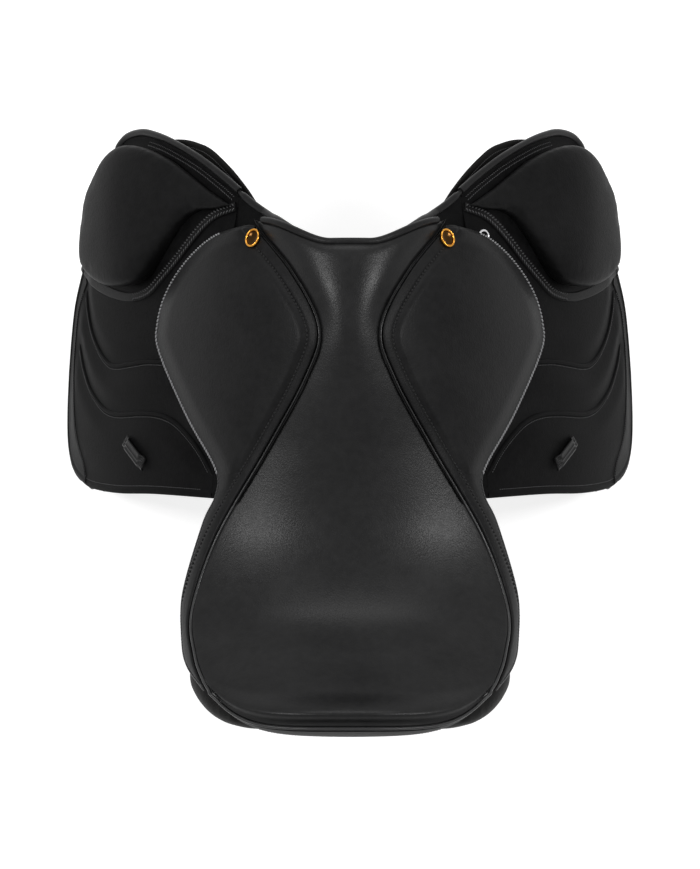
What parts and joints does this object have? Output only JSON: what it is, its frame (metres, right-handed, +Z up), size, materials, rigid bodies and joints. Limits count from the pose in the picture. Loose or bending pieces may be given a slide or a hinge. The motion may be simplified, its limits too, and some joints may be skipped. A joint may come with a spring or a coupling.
{
  "type": "jumping saddle",
  "caption": "Black leather jumping saddle with a deep seat, forward flaps, large knee blocks and lifting skirts over recessed stirrup bars.",
  "frame": {"origin": "on the horse's back, in the middle plane, under the middle of the seat: the point that the saddle is set down on", "axes": "+Y forward to the pommel, +X to the rider's right, +Z up"},
  "size_m": [0.5464, 0.5616, 0.4052],
  "materials": {
    "black_leather": "smooth black leather with a soft sheen",
    "lining_leather": "soft matt black leather",
    "wood": "laminated beech, matt",
    "foam": "open foam under the seat",
    "webbing": "plain woven web",
    "steel": "satin steel",
    "gold": "polished amber gold"
  },
  "bodies": {
    "saddle": {"seat_cover": "black_leather", "seat_foam": "foam", "seat_web_long": "webbing", "seat_web_front": "webbing", "seat_web_rear": "webbing", "tree": "wood", "head_plate": "steel", "seat_welt": "black_leather", "pommel_roll": "black_leather", "cantle_facing": "black_leather", "skirt_base_right": "black_leather", "skirt_base_left": "black_leather", "flap_root_right": "black_leather", "flap_root_left": "black_leather", "tree_point_right": "wood", "tree_point_left": "wood", "stirrup_bar_right": "steel", "stirrup_bar_left": "steel", "sweat_flap_right": "lining_leather", "sweat_flap_left": "lining_leather", "girth_anchor_right": "webbing", "girth_anchor_left": "webbing", "buckle_guard_right": "black_leather", "buckle_guard_left": "black_leather", "panel_right": "lining_leather", "panel_left": "lining_leather", "saddle_nail_right": "gold", "saddle_nail_left": "gold"},
    "flap_body_right": {"flap_right": "black_leather", "knee_block_right": "black_leather", "keeper_right": "black_leather", "dee_chape": "black_leather"},
    "flap_body_left": {"flap_left": "black_leather", "knee_block_left": "black_leather", "keeper_left": "black_leather"},
    "flex_body_right": {"skirt_flex_right": "black_leather"},
    "flex_body_left": {"skirt_flex_left": "black_leather"},
    "lobe_body_right": {"skirt_lobe_right": "black_leather"},
    "lobe_body_left": {"skirt_lobe_left": "black_leather"},
    "catch_body_right": {"bar_catch_right": "steel"},
    "catch_body_left": {"bar_catch_left": "steel"},
    "billet_body_front_right": {"billet_front_right": "black_leather"},
    "billet_body_front_left": {"billet_front_left": "black_leather"},
    "billet_body_middle_right": {"billet_middle_right": "black_leather"},
    "billet_body_middle_left": {"billet_middle_left": "black_leather"},
    "billet_body_rear_right": {"billet_rear_right": "black_leather"},
    "billet_body_rear_left": {"billet_rear_left": "black_leather"},
    "dee_body": {"dee": "steel"}
  },
  "joints": [
    {"name": "flap_lift_right", "type": "hinge", "parent": "saddle", "child": "flap_body_right", "pos_m": [0.0989, 0.268, 0.07467], "axis": [0.0909, -0.992, -0.0878], "range_deg": [0, 60]},
    {"name": "flap_lift_left", "type": "hinge", "parent": "saddle", "child": "flap_body_left", "pos_m": [-0.0989, 0.268, 0.07467], "axis": [0.0909, 0.992, 0.0878], "range_deg": [0, 60]},
    {"name": "skirt_flex_right", "type": "hinge", "parent": "saddle", "child": "flex_body_right", "pos_m": [0.0845, 0.228, 0.11596], "axis": [0.1142, -0.9851, -0.1282], "range_deg": [0, 52]},
    {"name": "skirt_flex_left", "type": "hinge", "parent": "saddle", "child": "flex_body_left", "pos_m": [-0.0845, 0.228, 0.11596], "axis": [0.1142, 0.9851, 0.1282], "range_deg": [0, 52]},
    {"name": "skirt_lift_right", "type": "hinge", "parent": "flex_body_right", "child": "lobe_body_right", "pos_m": [0.0895, 0.228, 0.1124], "axis": [0.1139, -0.9825, -0.1472], "range_deg": [0, 50]},
    {"name": "skirt_lift_left", "type": "hinge", "parent": "flex_body_left", "child": "lobe_body_left", "pos_m": [-0.0895, 0.228, 0.1124], "axis": [0.1139, 0.9825, 0.1472], "range_deg": [0, 50]},
    {"name": "bar_catch_right", "type": "hinge", "parent": "saddle", "child": "catch_body_right", "pos_m": [0.09809, 0.105, 0.07477], "axis": [-0.6732, 0, -0.7394], "range_deg": [0, 75]},
    {"name": "bar_catch_left", "type": "hinge", "parent": "saddle", "child": "catch_body_left", "pos_m": [-0.09809, 0.105, 0.07477], "axis": [-0.6732, 0, 0.7394], "range_deg": [0, 75]},
    {"name": "billet_front_right_swing", "type": "hinge", "parent": "saddle", "child": "billet_body_front_right", "pos_m": [0.12693, 0.124, 0.03674], "axis": [0.7278, 0, 0.6858], "range_deg": [-3, 3]},
    {"name": "billet_front_left_swing", "type": "hinge", "parent": "saddle", "child": "billet_body_front_left", "pos_m": [-0.12693, 0.124, 0.03674], "axis": [0.7278, 0, -0.6858], "range_deg": [-3, 3]},
    {"name": "billet_middle_right_swing", "type": "hinge", "parent": "saddle", "child": "billet_body_middle_right", "pos_m": [0.12693, 0.078, 0.03674], "axis": [0.7278, 0, 0.6858], "range_deg": [-3, 3]},
    {"name": "billet_middle_left_swing", "type": "hinge", "parent": "saddle", "child": "billet_body_middle_left", "pos_m": [-0.12693, 0.078, 0.03674], "axis": [0.7278, 0, -0.6858], "range_deg": [-3, 3]},
    {"name": "billet_rear_right_swing", "type": "hinge", "parent": "saddle", "child": "billet_body_rear_right", "pos_m": [0.12693, 0.032, 0.03674], "axis": [0.7278, 0, 0.6858], "range_deg": [-3, 3]},
    {"name": "billet_rear_left_swing", "type": "hinge", "parent": "saddle", "child": "billet_body_rear_left", "pos_m": [-0.12693, 0.032, 0.03674], "axis": [0.7278, 0, -0.6858], "range_deg": [-3, 3]},
    {"name": "dee_swing", "type": "hinge", "parent": "flap_body_right", "child": "dee_body", "pos_m": [0.11471, 0.2214, 0.06332], "axis": [0.5073, -0.7071, -0.4926], "range_deg": [0, 10]}
  ],
  "couplings": [
    {"joint": "skirt_flex_right", "follows": "flap_lift_right", "ratio": 0.85},
    {"joint": "skirt_flex_left", "follows": "flap_lift_left", "ratio": 0.85}
  ]
}
